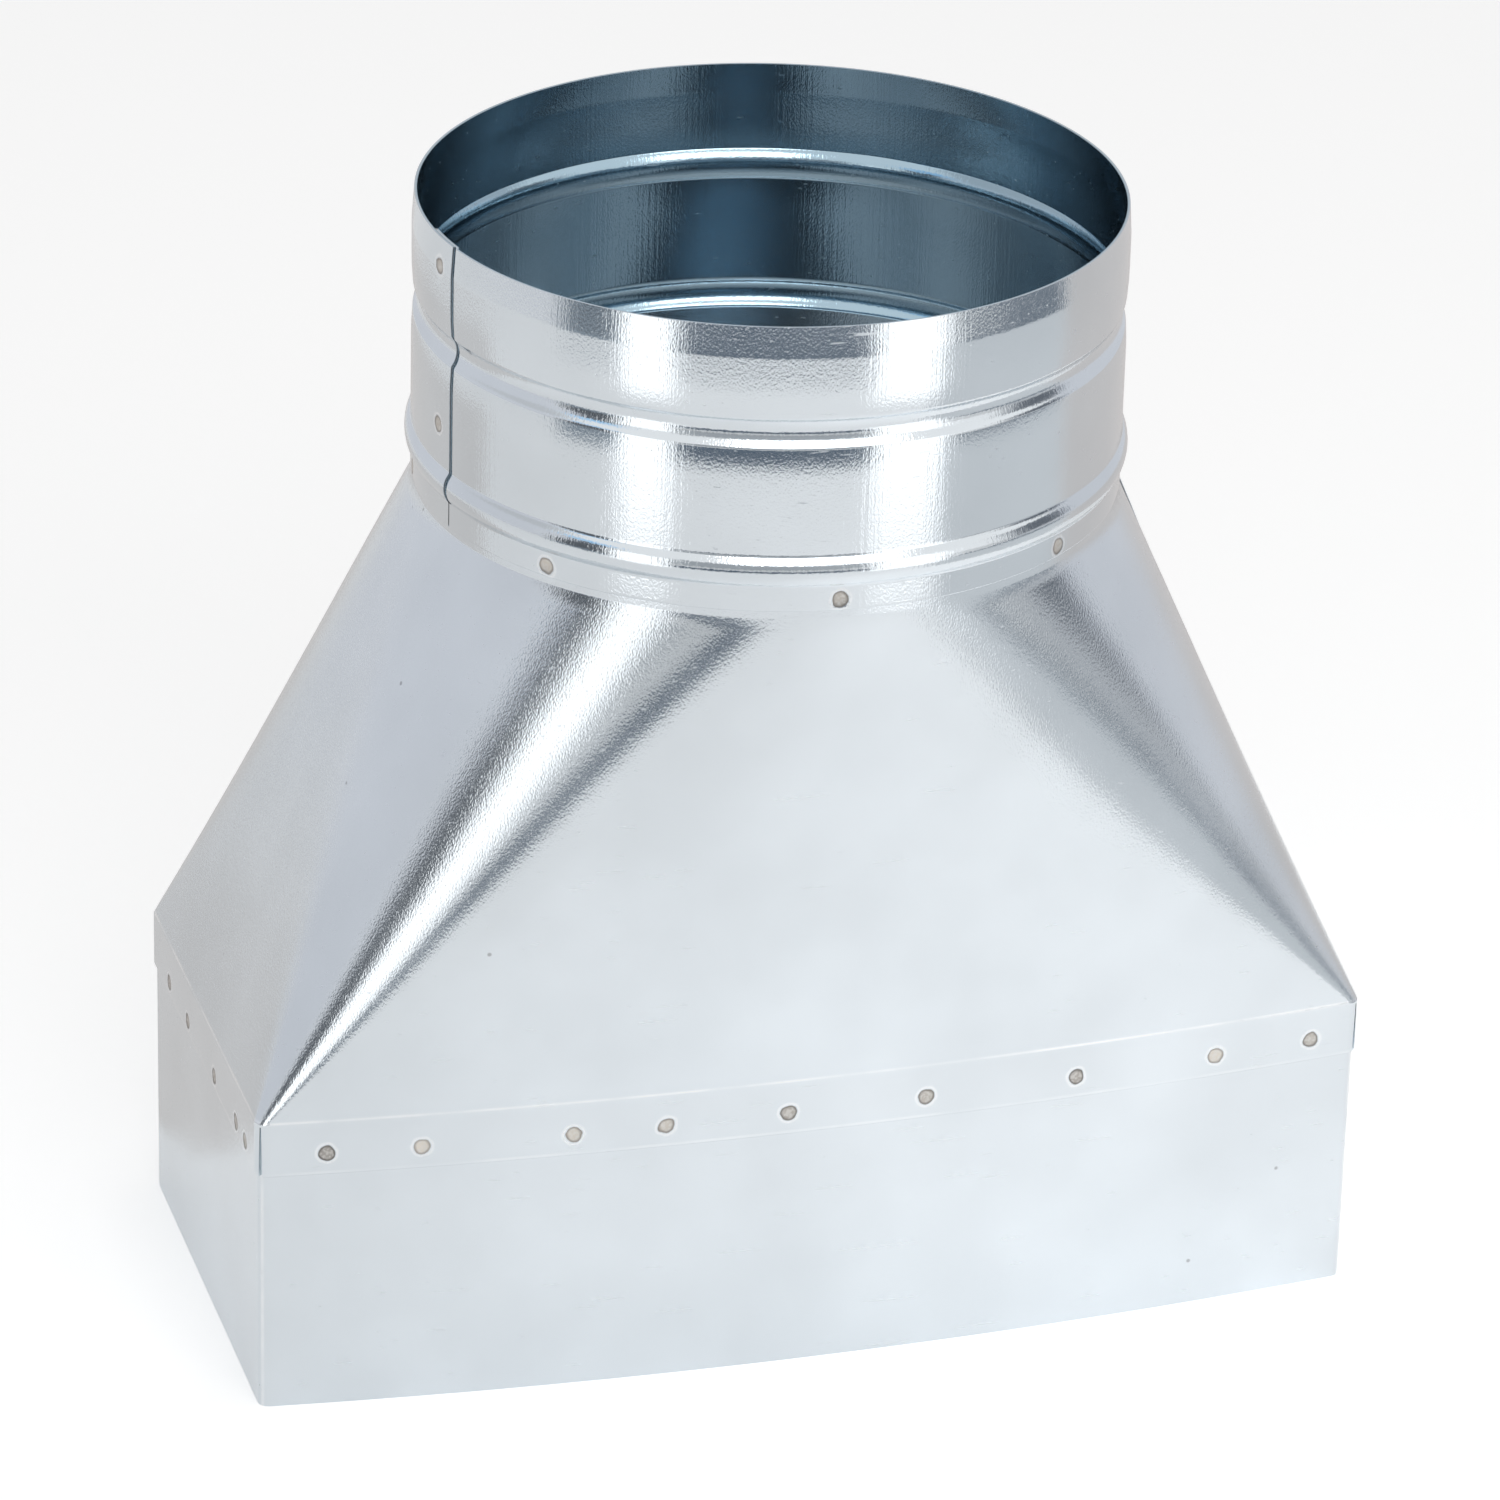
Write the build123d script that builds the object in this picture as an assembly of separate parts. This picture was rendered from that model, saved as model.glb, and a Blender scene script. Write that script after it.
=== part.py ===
from build123d import *
from math import acos, atan, atan2, cos, degrees, radians, sin, sqrt, tan
import os

# Flat duct adapter in galvanised sheet steel, millimetres, +Z up.
# The origin is on the floor in the middle of the flat collar. The long sides face -Y and +Y.

# The sheet, how closely lapped sheets lie on each other, and how far a cut runs past a face
sheet = 0.6
lap_gap = 0.05
seam_gap = 0.35
joggle = 1.2
past = 1.0

# Flat collar: the open folded tube at the bottom, measured over the outside at its corners
flat_width = 242.0
flat_depth = 102.0
long_side_bow = 7.0
flat_bend = 2.4
flat_free_height = 55.3
flat_tuck_gap = 0.8
flat_lap = 12.0
flat_lap_place = 60.0

# Transition hood: a skirt around the flat collar, then four rolled corners up to a round neck.
# A corner and a bowed side are rolled in narrow flats, whose number is stated.
skirt_height = 12.2
hood_rise = 116.0
corner_flats = 14
bow_flats = 8
neck_below_collar = 2.0
slit_top = 0.3
slit_bottom = 0.9
hood_lap = 14.0
hood_lap_above_fold = 2.5

# Round collar: a rolled spigot with a lead-in lip, a stiffening groove and a stop bead
spigot_radius = 74.65
lip_height = 6.5
lip_taper = 0.45
groove_below_rim = 19.5
groove_width = 7.0
groove_depth = 1.5
bead_below_rim = 50.0
bead_width = 6.5
bead_height = 1.3
flange_height = 5.5
seam_angle = -167.3
collar_lap = 11.0

# Spot welds, each a shallow round dish left by the electrode.
# Places along a side are shares of half that side, and places around the neck are degrees.
weld_diameter = 3.8
weld_depth = 0.15
long_side_welds = (-0.885, -0.72, -0.455, -0.29, -0.07, 0.18, 0.46, 0.725, 0.91)
short_side_welds = (0.66, 0.30, -0.21, -0.62, -0.79)
long_side_weld_drop = 7.2
short_side_weld_drop = 9.2
flange_welds = (-142.8, -94.4, -52.4, -8.0, 37.0, 82.0, 127.0, 172.0)
flange_weld_rise = 2.4
collar_lap_weld_drops = (6.0, 41.0)
hood_lap_welds = 4

# Heights and radii that follow from the sizes above
skirt_low = flat_free_height
fold_z = skirt_low + skirt_height
flat_top = fold_z - flat_tuck_gap
collar_bottom = fold_z + hood_rise
rim_z = collar_bottom + flange_height + bead_width + bead_below_rim
neck_start = collar_bottom - neck_below_collar
neck_top = collar_bottom + flange_height - lap_gap
neck_radius = spigot_radius - sheet - lap_gap
skirt_out = lap_gap + sheet
hood_bend = flat_bend + skirt_out
double = 2 * sheet + lap_gap
reach = flat_width

# The bow of a long side is one arc through the flat collar's corners
bow_radius = ((flat_width / 2) ** 2 + long_side_bow ** 2) / (2 * long_side_bow)
bow_centre = flat_depth / 2 + long_side_bow - bow_radius


def arc(centre, radius, start, stop, z):
    """Level arc about a centre, between two directions in degrees."""
    points = []
    for angle in (start, (start + stop) / 2, stop):
        x = centre[0] + radius * cos(radians(angle))
        y = centre[1] + radius * sin(radians(angle))
        points.append((x, y, z))
    return ThreePointArc(*points)


def bend_centre(out, bend):
    """Centre of a corner bend that is tangent to the straight short side and the bowed long side."""
    cx = flat_width / 2 + out - bend
    cy = bow_centre + sqrt((bow_radius + out - bend) ** 2 - cx ** 2)
    return cx, cy


def flat_outline(out, bend, z):
    """Bowed rectangle with bent corners, `out` outside the flat collar, as a face of eight edges."""
    half_width = flat_width / 2 + out
    cx, cy = bend_centre(out, bend)
    turn = degrees(acos(cx / (bow_radius + out - bend)))
    crest = bow_centre + bow_radius + out
    ax = (bow_radius + out) * cos(radians(turn))
    ay = bow_centre + (bow_radius + out) * sin(radians(turn))
    edges = [
        Line((half_width, -cy, z), (half_width, cy, z)),
        arc((cx, cy), bend, 0, turn, z),
        ThreePointArc((ax, ay, z), (0, crest, z), (-ax, ay, z)),
        arc((-cx, cy), bend, 180 - turn, 180, z),
        Line((-half_width, cy, z), (-half_width, -cy, z)),
        arc((-cx, -cy), bend, 180, 180 + turn, z),
        ThreePointArc((-ax, -ay, z), (0, -crest, z), (ax, -ay, z)),
        arc((cx, -cy), bend, -turn, 0, z),
    ]
    return Face(Wire(edges))


def upright_wall(outer, inner, bend, low, high):
    """Upright wall between two offsets of the flat collar; bend is its outer corner radius."""
    up = (0, 0, 1)
    outside = extrude(flat_outline(outer, bend, low), high - low, dir=up)
    inside = extrude(flat_outline(inner, bend - (outer - inner), low), high - low, dir=up)
    return outside - inside


def bend_lines(shift):
    """Feet and heads of the lines that the hood is rolled along, `shift` outside its outer face.

    A line's foot on the fold and its head on the neck face the same way, so each flat is a plane.
    """
    bend = hood_bend + shift
    cx, cy = bend_centre(skirt_out + shift, bend)
    bow = bow_radius + skirt_out + shift
    turn = degrees(acos(cx / (bow - bend)))
    parts = [
        (cx, cy, bend, 0, turn, corner_flats),
        (0, bow_centre, bow, turn, 180 - turn, bow_flats),
        (-cx, cy, bend, 180 - turn, 180, corner_flats),
        (-cx, -cy, bend, 180, 180 + turn, corner_flats),
        (0, -bow_centre, bow, 180 + turn, 360 - turn, bow_flats),
        (cx, -cy, bend, 360 - turn, 360, corner_flats),
    ]
    feet = []
    heads = []
    for x, y, radius, start, stop, flats in parts:
        for count in range(flats + 1):
            heading = radians(start + (stop - start) * count / flats)
            foot = (x + radius * cos(heading), y + radius * sin(heading), fold_z)
            head = ((neck_radius + shift) * cos(heading), (neck_radius + shift) * sin(heading), neck_start)
            if not feet or sqrt((foot[0] - feet[-1][0]) ** 2 + (foot[1] - feet[-1][1]) ** 2) > 0.001:
                feet.append(foot)
                heads.append(head)
    return feet, heads


def sloping_body(shift):
    """Solid under the hood from the fold to the neck, `shift` outside the hood's outer face."""
    feet, heads = bend_lines(shift)
    faces = [Face(Wire.make_polygon(feet)), Face(Wire.make_polygon(unlike(heads)))]
    for place, foot in enumerate(feet):
        corners = [feet[place - 1], foot, heads[place], heads[place - 1]]
        faces.append(Face(Wire.make_polygon(unlike(corners))))
    return Solid(Shell(faces))


def unlike(points):
    """The points without those that lie on the one before."""
    kept = []
    for place, point in enumerate(points):
        before = points[place - 1]
        if (Vector(*point) - Vector(*before)).length > 0.001:
            kept.append(point)
    return kept


def sloping_wall(outer, inner):
    """Hood wall from the fold to the neck, between two offsets of the hood's outer face."""
    return sloping_body(outer) - sloping_body(inner)


def block(x0, x1, y0, y1, z0, z1):
    """Box between two opposite corners."""
    corner = (Align.MIN, Align.MIN, Align.MIN)
    return Pos(x0, y0, z0) * Box(x1 - x0, y1 - y0, z1 - z0, align=corner)


def electrode_dish():
    """Cap of a ball that presses a weld's dish into a face at the origin that looks along +X."""
    radius = (weld_diameter ** 2 / 4 + weld_depth ** 2) / (2 * weld_depth)
    ball = Pos(radius - weld_depth, 0, 0) * Sphere(radius)
    return ball & Rot(0, 90, 0) * Cylinder(weld_diameter, 2 * sheet)


dish = electrode_dish()

# Flat collar: one strip folded round, with its ends lapped and joggled inward on the hidden long side
flat_wall = upright_wall(0, -sheet, flat_bend, 0, flat_top)
flat_tongue = upright_wall(-sheet - lap_gap, -double, flat_bend - sheet - lap_gap, 0, flat_top)
flat_step = upright_wall(0, -double, flat_bend, 0, flat_top)
step_start = flat_lap_place + seam_gap
step_end = step_start + joggle
slit_zone = block(flat_lap_place, step_start, 0, reach, -past, rim_z)
tongue_zone = block(flat_lap_place - flat_lap, step_end, 0, reach, -past, rim_z)
step_zone = block(step_start, step_end, 0, reach, -past, rim_z)
flat_collar = flat_wall - slit_zone + (flat_tongue & tongue_zone) + (flat_step & step_zone)

# Transition hood: skirt, sloping wall and neck of one sheet
skirt = upright_wall(skirt_out, lap_gap, hood_bend, skirt_low, fold_z)
neck_rise = neck_top - neck_start
neck_ring = Cylinder(neck_radius, neck_rise) - Cylinder(neck_radius - sheet, neck_rise)
neck = Pos(0, 0, neck_start + neck_rise / 2) * neck_ring

# The skirt's corners are slit up to a sheet's thickness below the fold, wider at the free edge
slit_x, slit_y = bend_centre(skirt_out, hood_bend)
slit_high = fold_z - sheet
slit_shape = Polygon(
    (-slit_bottom / 2, skirt_low), (slit_bottom / 2, skirt_low),
    (slit_top / 2, slit_high), (-slit_top / 2, slit_high), align=None)
slit = extrude(Plane.YZ * slit_shape, hood_bend + past)
for side_x in (-1, 1):
    for side_y in (-1, 1):
        heading = degrees(atan2(side_y, side_x))
        skirt -= Pos(side_x * slit_x, side_y * slit_y, 0) * Rot(0, 0, heading) * slit

# The skirt's spot welds on the two long sides, then on the two short ones
for share in long_side_welds:
    x = share * flat_width / 2
    y = bow_centre + sqrt((bow_radius + skirt_out) ** 2 - x ** 2)
    heading = degrees(acos(x / (bow_radius + skirt_out)))
    z = fold_z - long_side_weld_drop
    skirt -= Pos(x, y, z) * Rot(0, 0, heading) * dish
    skirt -= Pos(x, -y, z) * Rot(0, 0, -heading) * dish
for share in short_side_welds:
    x = flat_width / 2 + skirt_out
    y = share * flat_depth / 2
    z = fold_z - short_side_weld_drop
    skirt -= Pos(x, y, z) * dish
    skirt -= Pos(-x, y, z) * Rot(0, 0, 180) * dish

# The sheet's ends lap on the right short side: the outer end is joggled out over the inner one
lap_low = fold_z + hood_lap_above_fold
lap_front = -hood_lap / 2
lap_back = hood_lap / 2
lap_layer = sloping_wall(lap_gap + sheet, lap_gap)
lap_step = sloping_wall(lap_gap + sheet, -sheet)
lap_zone = block(0, reach, lap_front, lap_back, lap_low, neck_start)
lap_step_zone = block(0, reach, lap_back - joggle, lap_back, lap_low, neck_start)
inner_end = block(0, reach, lap_back - joggle - seam_gap, lap_back - joggle, skirt_low - past, neck_top + past)
hood = skirt + sloping_wall(0, -sheet) + neck - inner_end
transition_hood = hood + (lap_layer & lap_zone) + (lap_step & lap_step_zone)

# The lap's spot welds, in a row up its sloping face
lap_face_foot = flat_width / 2 + skirt_out + lap_gap + sheet
lap_face_head = neck_radius + lap_gap + sheet
lap_inset = (lap_face_foot - lap_face_head) / (neck_start - fold_z)
lap_slope = degrees(atan(lap_inset))
lap_pitch = (neck_start - lap_low) / hood_lap_welds
for count in range(hood_lap_welds):
    z = lap_low + (count + 0.5) * lap_pitch
    x = lap_face_foot - lap_inset * (z - fold_z)
    transition_hood -= Pos(x, 0, z) * Rot(0, -lap_slope, 0) * dish


def swage(z_top, width, height, shift):
    """Points of a bead (height over 0) or a groove (under 0), in the wall's face `shift` inside the outer one.

    Its two flanks and its flat crown are each a third of its width.
    """
    wall = spigot_radius - shift
    middle = z_top - width / 2
    slip = shift * tan(atan(3 * height / width) / 2)
    foot = width / 2 - slip
    crown = width / 6 - slip
    return [
        (wall, 0, middle + foot),
        (wall + height, 0, middle + crown),
        (wall + height, 0, middle - crown),
        (wall, 0, middle - foot),
    ]


def collar_contour(shift):
    """Side view of the round collar's wall from rim to free edge, `shift` inside its outer face."""
    wall = spigot_radius - shift
    points = [(wall - lip_taper, 0, rim_z), (wall, 0, rim_z - lip_height)]
    points += swage(rim_z - groove_below_rim, groove_width, -groove_depth, shift)
    points += swage(rim_z - bead_below_rim, bead_width, bead_height, shift)
    points.append((wall, 0, collar_bottom))
    return points


def rolled_wall(outer, inner, start, stop):
    """Part of the round collar between two depths of its wall and two directions in degrees."""
    contour = collar_contour(outer) + collar_contour(inner)[::-1]
    side = Face(Wire.make_polygon(contour))
    return Rot(0, 0, start) * revolve(side, axis=Axis.Z, revolution_arc=stop - start)


# Round collar: a strip rolled once round, with a joggled tongue under its free edge
gap_turn = degrees(seam_gap / spigot_radius)
step_turn = degrees(joggle / spigot_radius)
lap_turn = degrees(collar_lap / spigot_radius)
wall_start = seam_angle + gap_turn
main_wall = rolled_wall(0, sheet, wall_start, seam_angle + 360)
collar_step = rolled_wall(0, double, wall_start, wall_start + step_turn)
tongue = rolled_wall(sheet + lap_gap, double, seam_angle - lap_turn, wall_start + step_turn)
above_neck = block(-reach, reach, -reach, reach, neck_top + lap_gap, rim_z + past)
round_collar = main_wall + ((tongue + collar_step) & above_neck)

# The round collar's spot welds: a ring of them into the hood's neck, and some down its own lap
for angle in flange_welds:
    round_collar -= Rot(0, 0, angle) * Pos(spigot_radius, 0, collar_bottom + flange_weld_rise) * dish
for drop in collar_lap_weld_drops:
    round_collar -= Rot(0, 0, seam_angle - lap_turn / 2) * Pos(spigot_radius, 0, rim_z - drop) * dish

# One file for each piece
os.makedirs("parts", exist_ok=True)
export_step(flat_collar, "parts/flat_collar.step")
export_step(transition_hood, "parts/transition_hood.step")
export_step(round_collar, "parts/round_collar.step")
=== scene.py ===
import math
import bmesh
import bpy
import numpy as np
from mathutils import Matrix, Vector


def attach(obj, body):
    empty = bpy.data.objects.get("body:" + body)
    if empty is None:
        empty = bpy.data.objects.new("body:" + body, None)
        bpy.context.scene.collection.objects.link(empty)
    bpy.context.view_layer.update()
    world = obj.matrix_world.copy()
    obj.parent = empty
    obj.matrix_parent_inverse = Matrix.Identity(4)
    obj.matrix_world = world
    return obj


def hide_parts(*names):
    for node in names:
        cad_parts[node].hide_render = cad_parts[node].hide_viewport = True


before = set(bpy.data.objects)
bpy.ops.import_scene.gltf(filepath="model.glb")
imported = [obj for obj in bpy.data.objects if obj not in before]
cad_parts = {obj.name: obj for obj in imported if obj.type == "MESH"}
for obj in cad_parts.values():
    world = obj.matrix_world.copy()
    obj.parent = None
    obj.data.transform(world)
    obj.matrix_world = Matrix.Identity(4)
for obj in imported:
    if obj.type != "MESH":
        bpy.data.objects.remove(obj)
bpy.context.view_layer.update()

# Flat collar: one strip of galvanised steel sheet folded into an open tube with bowed long sides.
# One end of the strip is stepped in under the other on the back long side. Its top is pushed up
# inside the hood's skirt and spot welded there, and its free edge stands on the floor.
sheet = 0.0006
lap_gap = 0.00005
seam_gap = 0.00035
joggle = 0.0012
half_width = 0.121
half_depth = 0.051
side_bow = 0.007
corner_bend = 0.0024
flat_top = 0.0667
flat_lap_place = 0.060
flat_lap = 0.012
bow_radius = (half_width ** 2 + side_bow ** 2) / (2 * side_bow)
bow_centre = half_depth + side_bow - bow_radius
bend_x = half_width - corner_bend
bend_y = bow_centre + math.sqrt((bow_radius - corner_bend) ** 2 - bend_x ** 2)
corner_turn = math.acos(bend_x / (bow_radius - corner_bend))
press_line_place = 0.115
press_line_depth = 0.00006
press_line_half = 0.0004
# Painted highlight along the flat collar's corner bends: how far round a bend it reaches, and how strong it
# is.
painted_highlight_turn = math.radians(14)
corner_highlight = 0.7
far_from_weld = 9.0
same_point = 2e-7
sharp_turn = math.radians(42)
zinc = (0.72, 0.765, 0.80)


def stretches(stops, cells):
    """Values from stop to stop, each stretch divided evenly into its number of cells."""
    parts = [np.linspace(a, b, n, endpoint=False) for a, b, n in zip(stops, stops[1:], cells)]
    return np.concatenate(parts + [stops[-1:]])


def smooth_step(value):
    """Rises from 0 to 1 while the value does, level at both ends: 3 v squared less 2 v cubed."""
    v = np.clip(value, 0, 1)
    return v * v * (3 - 2 * v)


def flat_outline(place, out):
    """Points of the bowed rectangle, `out` outside the flat collar, and the directions they face.

    A place runs counter-clockwise from 0 to 8, one step an edge: right side, bend, back bow, bend,
    left side, bend, front bow, bend. A point is its edge's centre plus the edge's radius and `out`
    along a direction that turns evenly on bends and bows. On a straight side the centre slides.
    """
    edge = np.floor(place).astype(int) % 8
    along = place - np.floor(place)
    half_turn = np.array([0, corner_turn, math.pi - corner_turn, math.pi])
    whole_turn = np.concatenate([[0], half_turn, half_turn + math.pi])
    heading = np.interp(np.mod(place, 8), np.arange(9), whole_turn)
    x = np.take([bend_x, bend_x, 0, -bend_x, -bend_x, -bend_x, 0, bend_x], edge)
    y = np.take([0, bend_y, bow_centre, bend_y, 0, -bend_y, -bow_centre, -bend_y], edge)
    y = np.where(edge == 0, bend_y * (2 * along - 1), np.where(edge == 4, bend_y * (1 - 2 * along), y))
    radius = np.where(edge % 4 == 2, bow_radius, corner_bend) + out
    return x + radius * np.cos(heading), y + radius * np.sin(heading), heading


def place_on_back(x):
    """Place on the back bow at a distance x to the right of the middle, from the bow's angle there."""
    return 2 + (np.arccos(x / bow_radius) - corner_turn) / (math.pi - 2 * corner_turn)


def sheet_strip(name, outer, inner, keep, weld_ring, weld_tone, painted_highlight):
    """Closed mesh of a sheet between two grids of points, rows upward and columns counter-clockwise.

    Each kept cell gives a face on both sides. Where a kept cell meets a dropped one or the grid's
    end, a narrow face joins the two sides, so the sheet's cut edge is closed. Points that no face
    uses are left out. Each point also keeps its place on the strip, its distance from the nearest
    weld in radii, how burnt that weld is, how much painted highlight it carries, whether it is
    on the inner side and whether at a strip's end.
    """
    number = np.arange(outer.shape[0] * outer.shape[1]).reshape(outer.shape[:2])
    low_left, low_right = number[:-1, :-1], number[:-1, 1:]
    high_left, high_right = number[1:, :-1], number[1:, 1:]
    other = number.size
    faces = [np.stack([low_left, low_right, high_right, high_left], -1)[keep],
             np.stack([low_left, high_left, high_right, low_right], -1)[keep] + other]
    around = np.pad(keep, 1)
    for beside, first, second in ((around[1:-1, :-2], low_left, high_left),
                                  (around[1:-1, 2:], high_right, low_right),
                                  (around[:-2, 1:-1], low_right, low_left),
                                  (around[2:, 1:-1], high_left, high_right)):
        cut = keep & ~beside
        faces.append(np.stack([first, second, second + other, first + other], -1)[cut])
    used, faces = np.unique(np.concatenate(faces), return_inverse=True)
    faces = faces.reshape(-1, 4).astype(np.int32)
    points = np.concatenate([outer.reshape(-1, 3), inner.reshape(-1, 3)])[used].astype(np.float32)
    mesh = bpy.data.meshes.new(name)
    mesh.vertices.add(len(points))
    mesh.vertices.foreach_set("co", points.ravel())
    mesh.loops.add(faces.size)
    mesh.loops.foreach_set("vertex_index", faces.ravel())
    mesh.polygons.add(len(faces))
    mesh.polygons.foreach_set("loop_start", np.arange(0, faces.size, 4, dtype=np.int32))
    mesh.update(calc_edges=True)
    step = np.linalg.norm(np.diff(outer.mean(0)[:, :2], axis=0), axis=1)
    around_strip = np.broadcast_to(np.concatenate([[0], np.cumsum(step)]), number.shape)
    strip_place = np.stack([around_strip, outer[:, :, 2], np.zeros(number.shape)], -1).reshape(-1, 3)
    mesh.attributes.new("strip_place", "FLOAT_VECTOR", "POINT").data.foreach_set(
        "vector", np.tile(strip_place, (2, 1))[used].astype(np.float32).ravel())
    nothing = np.zeros(number.shape)
    at_end = np.zeros(number.shape)
    at_end[:, [0, -1]] = 1
    for title, values, other_values in (("weld_ring", weld_ring, nothing + far_from_weld),
                                        ("weld_tone", weld_tone, nothing), ("painted_highlight", painted_highlight, nothing),
                                        ("inner_side", nothing, nothing + 1), ("strip_end", at_end, at_end)):
        both = np.concatenate([values.ravel(), other_values.ravel()])[used].astype(np.float32)
        mesh.attributes.new(title, "FLOAT", "POINT").data.foreach_set("value", both)
    work = bmesh.new()
    work.from_mesh(mesh)
    bmesh.ops.remove_doubles(work, verts=work.verts, dist=same_point)
    work.to_mesh(mesh)
    work.free()
    mesh.shade_smooth()
    mesh.set_sharp_from_angle(angle=sharp_turn)
    piece = bpy.data.objects.new(name, mesh)
    bpy.context.collection.objects.link(piece)
    return piece


def wired(tree, kind, inputs, **settings):
    """New node with its settings, and its inputs given as values or as other nodes' outputs."""
    node = tree.nodes.new(kind)
    for title, value in settings.items():
        setattr(node, title, value)
    for socket, value in inputs.items():
        if isinstance(value, bpy.types.NodeSocket):
            tree.links.new(value, node.inputs[socket])
        else:
            node.inputs[socket].default_value = value
    return node


def galvanised_steel(name, zinc, inner_painted_shade, gloss_loss, crystal_depth, brushing_depth, wave_depth):
    """Zinc-coated steel: clouded colour, crystals that speckle its reflections, brushing, waves, scratches,
    specks, weld marks, painted highlights on bends and edges, and painted bluish shade on the inner side.

    Scales are in cells to the metre. Crystals come out 0.4 mm wide and 0.6 mm high, brushing 0.7 mm
    wide and 60 mm high, scratches 0.7 mm wide and 30 mm long, and clouds and waves about 40 mm wide.
    """
    crystal_scale, crystal_squeeze = 2700.0, 0.6
    brushing_scale, brushing_squeeze = 1500.0, 0.011
    cloud_scale, wave_scale, speck_scale = 24.0, 30.0, 95.0
    scratch_scale, scratch_turn, scratch_depth = (35, 1500, 1500), (0.3, 0.9, 0.5), -0.000005
    ring_scale, mottle_scale, highlight_scale = 420.0, 1600.0, 60.0
    inner_shade_tint = (0.55, 0.69, 0.77)
    # The near-black cut grey is painted shade of the lap's gap at the strips' ends.
    speck_grey, cut_painted_shade = (0.22, 0.22, 0.23, 1), (0.06, 0.06, 0.065, 1)
    highlight_bright, halo_bright = (0.97, 0.98, 0.99, 1), (0.95, 0.96, 0.97, 1)
    material = bpy.data.materials.new(name)
    material.use_nodes = True
    tree = material.node_tree
    metal = tree.nodes["Principled BSDF"]
    place = wired(tree, "ShaderNodeTexCoord", {}).outputs["Object"]

    def kept(title, output="Fac"):
        return wired(tree, "ShaderNodeAttribute", {}, attribute_name=title).outputs[output]

    def noise(vector, scale, detail):
        inputs = {"Vector": vector, "Scale": scale, "Detail": detail}
        return wired(tree, "ShaderNodeTexNoise", inputs).outputs["Fac"]

    def mapped(vector, scale, turn=(0, 0, 0)):
        inputs = {"Vector": vector, "Rotation": turn, "Scale": scale}
        return wired(tree, "ShaderNodeMapping", inputs).outputs["Vector"]

    def ranged(value, low, high, at_low, at_high):
        inputs = {"Value": value, 1: low, 2: high, 3: at_low, 4: at_high}
        return wired(tree, "ShaderNodeMapRange", inputs).outputs["Result"]

    def figured(operation, first, second, third=0.0):
        inputs = {0: first, 1: second, 2: third}
        return wired(tree, "ShaderNodeMath", inputs, operation=operation).outputs["Value"]

    def mixed(share, first, second):
        inputs = {"Factor": share, 6: first, 7: second}
        return wired(tree, "ShaderNodeMix", inputs, data_type="RGBA").outputs[2]

    crystals = noise(mapped(place, (1, 1, crystal_squeeze)), crystal_scale, 1.0)
    brushed = noise(mapped(kept("strip_place", "Vector"), (1, brushing_squeeze, 1)), brushing_scale, 2.0)
    clouds = noise(place, cloud_scale, 3.0)
    waves = noise(place, wave_scale, 1.0)
    scratch = ranged(noise(mapped(place, scratch_scale, scratch_turn), 1.0, 0.0), 0.78, 0.84, 0.0, 1.0)
    dots = wired(tree, "ShaderNodeTexVoronoi", {"Vector": place, "Scale": speck_scale})
    chance = wired(tree, "ShaderNodeSeparateColor", {"Color": dots.outputs["Color"]}).outputs["Red"]
    speck = figured("MULTIPLY", ranged(dots.outputs["Distance"], 0.03, 0.055, 0.55, 0.0),
                    figured("GREATER_THAN", chance, 0.86))

    ring = figured("SUBTRACT", kept("weld_ring"), 0.25)
    ring = figured("MULTIPLY_ADD", noise(place, ring_scale, 1.0), 0.5, ring)
    tone = kept("weld_tone")
    in_weld = ranged(ring, 0.88, 1.0, 1.0, 0.0)
    halo = figured("MULTIPLY", ranged(ring, 1.02, 1.1, 0.0, 0.5), ranged(ring, 1.22, 1.42, 1.0, 0.0))
    burnt = mixed(tone, (0.76, 0.71, 0.64, 1), (0.34, 0.32, 0.30, 1))
    mottle = ranged(noise(place, mottle_scale, 1.0), 0.4, 0.62, 0.0, 0.6)
    mottled = mixed(mottle, burnt, (0.70, 0.69, 0.67, 1))
    # The weld's dark rim is partly heat tint and partly painted shade of the dish's edge.
    dark_rim = mixed(tone, (0.36, 0.33, 0.30, 1), (0.09, 0.085, 0.08, 1))
    button = mixed(ranged(ring, 0.62, 0.86, 0.0, 0.9), mottled, dark_rim)

    inner = kept("inner_side")
    # At the strips' ends the cut edge is painted near black as shade of the lap's gap, and made rougher as
    # bare steel.
    across_cut = figured("MULTIPLY", figured("MULTIPLY", inner, figured("SUBTRACT", 1.0, inner)), 4.0)
    bare_cut_and_shade = figured("MULTIPLY", across_cut, figured("MULTIPLY", kept("strip_end"), 0.85))
    # Painted highlight: a near-white colour along bends and edges, uneven along them.
    uneven_highlight = ranged(noise(place, highlight_scale, 3.0), 0.38, 0.62, 0.25, 1.0)
    painted_highlight = figured("MULTIPLY", kept("painted_highlight"), uneven_highlight)
    cloud = ranged(clouds, 0.35, 0.68, 0.955, 1.045)
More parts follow.
